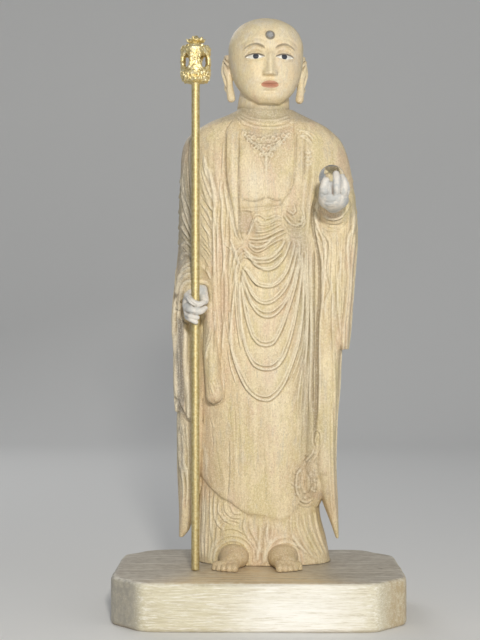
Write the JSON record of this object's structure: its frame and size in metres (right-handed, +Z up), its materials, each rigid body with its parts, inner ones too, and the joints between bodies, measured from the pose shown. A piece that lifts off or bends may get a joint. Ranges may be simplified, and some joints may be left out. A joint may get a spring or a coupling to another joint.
{
  "type": "carved wooden figure",
  "caption": "Carved standing monk figure with shaved head and draped robe on a low plinth with cut corners, holding a gilt ringed staff and a clear ball.",
  "frame": {"origin": "middle of the plinth's underside", "axes": "+Z up, +X to the viewer's right, +Y away from the viewer; the figure faces -Y"},
  "size_m": [0.156, 0.11, 0.33],
  "materials": {
    "pale_wood": "bare straw-coloured softwood, satin, fine grain",
    "plinth_wood": "pale board, satin, grain along its length",
    "hand_wood": "paler greyish wood, satin",
    "gilt": "gilt, slightly mottled, half gloss",
    "clear_glass": "clear, polished"
  },
  "bodies": {
    "root": {"figure": "pale_wood", "right_hand": "hand_wood", "left_hand": "hand_wood", "jewel": "clear_glass", "forehead_crystal": "clear_glass", "staff_shaft": "gilt", "staff_finial": "gilt", "plinth": "plinth_wood"}
  },
  "joints": []
}
